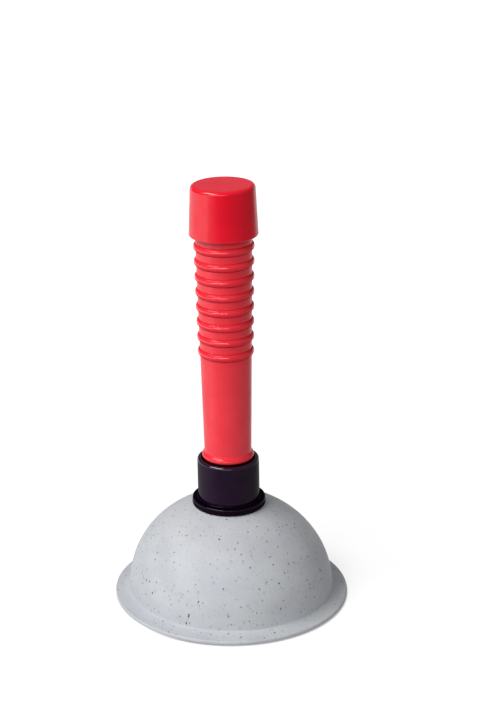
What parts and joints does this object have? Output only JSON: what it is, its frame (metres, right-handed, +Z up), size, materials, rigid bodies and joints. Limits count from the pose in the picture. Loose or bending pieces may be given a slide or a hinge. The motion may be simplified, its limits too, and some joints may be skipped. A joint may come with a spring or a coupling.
{
  "type": "toilet plunger",
  "caption": "Short-handled plunger with a domed rubber cup, a flanged plastic collar and a tapered hollow grip with bead ribs and a cap.",
  "frame": {"origin": "on the floor at the centre of the cup's rim", "axes": "+Z up along the handle, away from the floor; the part is round about +Z"},
  "size_m": [0.14, 0.14, 0.2556],
  "materials": {
    "cup_rubber": "matte light grey rubber with fine dark specks",
    "collar_plastic": "glossy dark aubergine moulded plastic",
    "grip_plastic": "glossy coral red moulded plastic",
    "cap_plastic": "glossy crimson moulded plastic",
    "fixing_steel": "zinc-plated steel"
  },
  "bodies": {
    "cup": {"rubber_cup": "cup_rubber"},
    "handle": {"collar": "collar_plastic", "handle_grip": "grip_plastic", "end_cap": "cap_plastic", "fixing_screw": "fixing_steel", "clamp_washer": "fixing_steel"}
  },
  "joints": [
    {"name": "plunge", "type": "slide", "parent": "cup", "child": "handle", "axis": [0, 0, -1], "range_m": [0, 0.035], "stiffness_N_per_m": 2000, "deforming": ["rubber_cup"]}
  ]
}
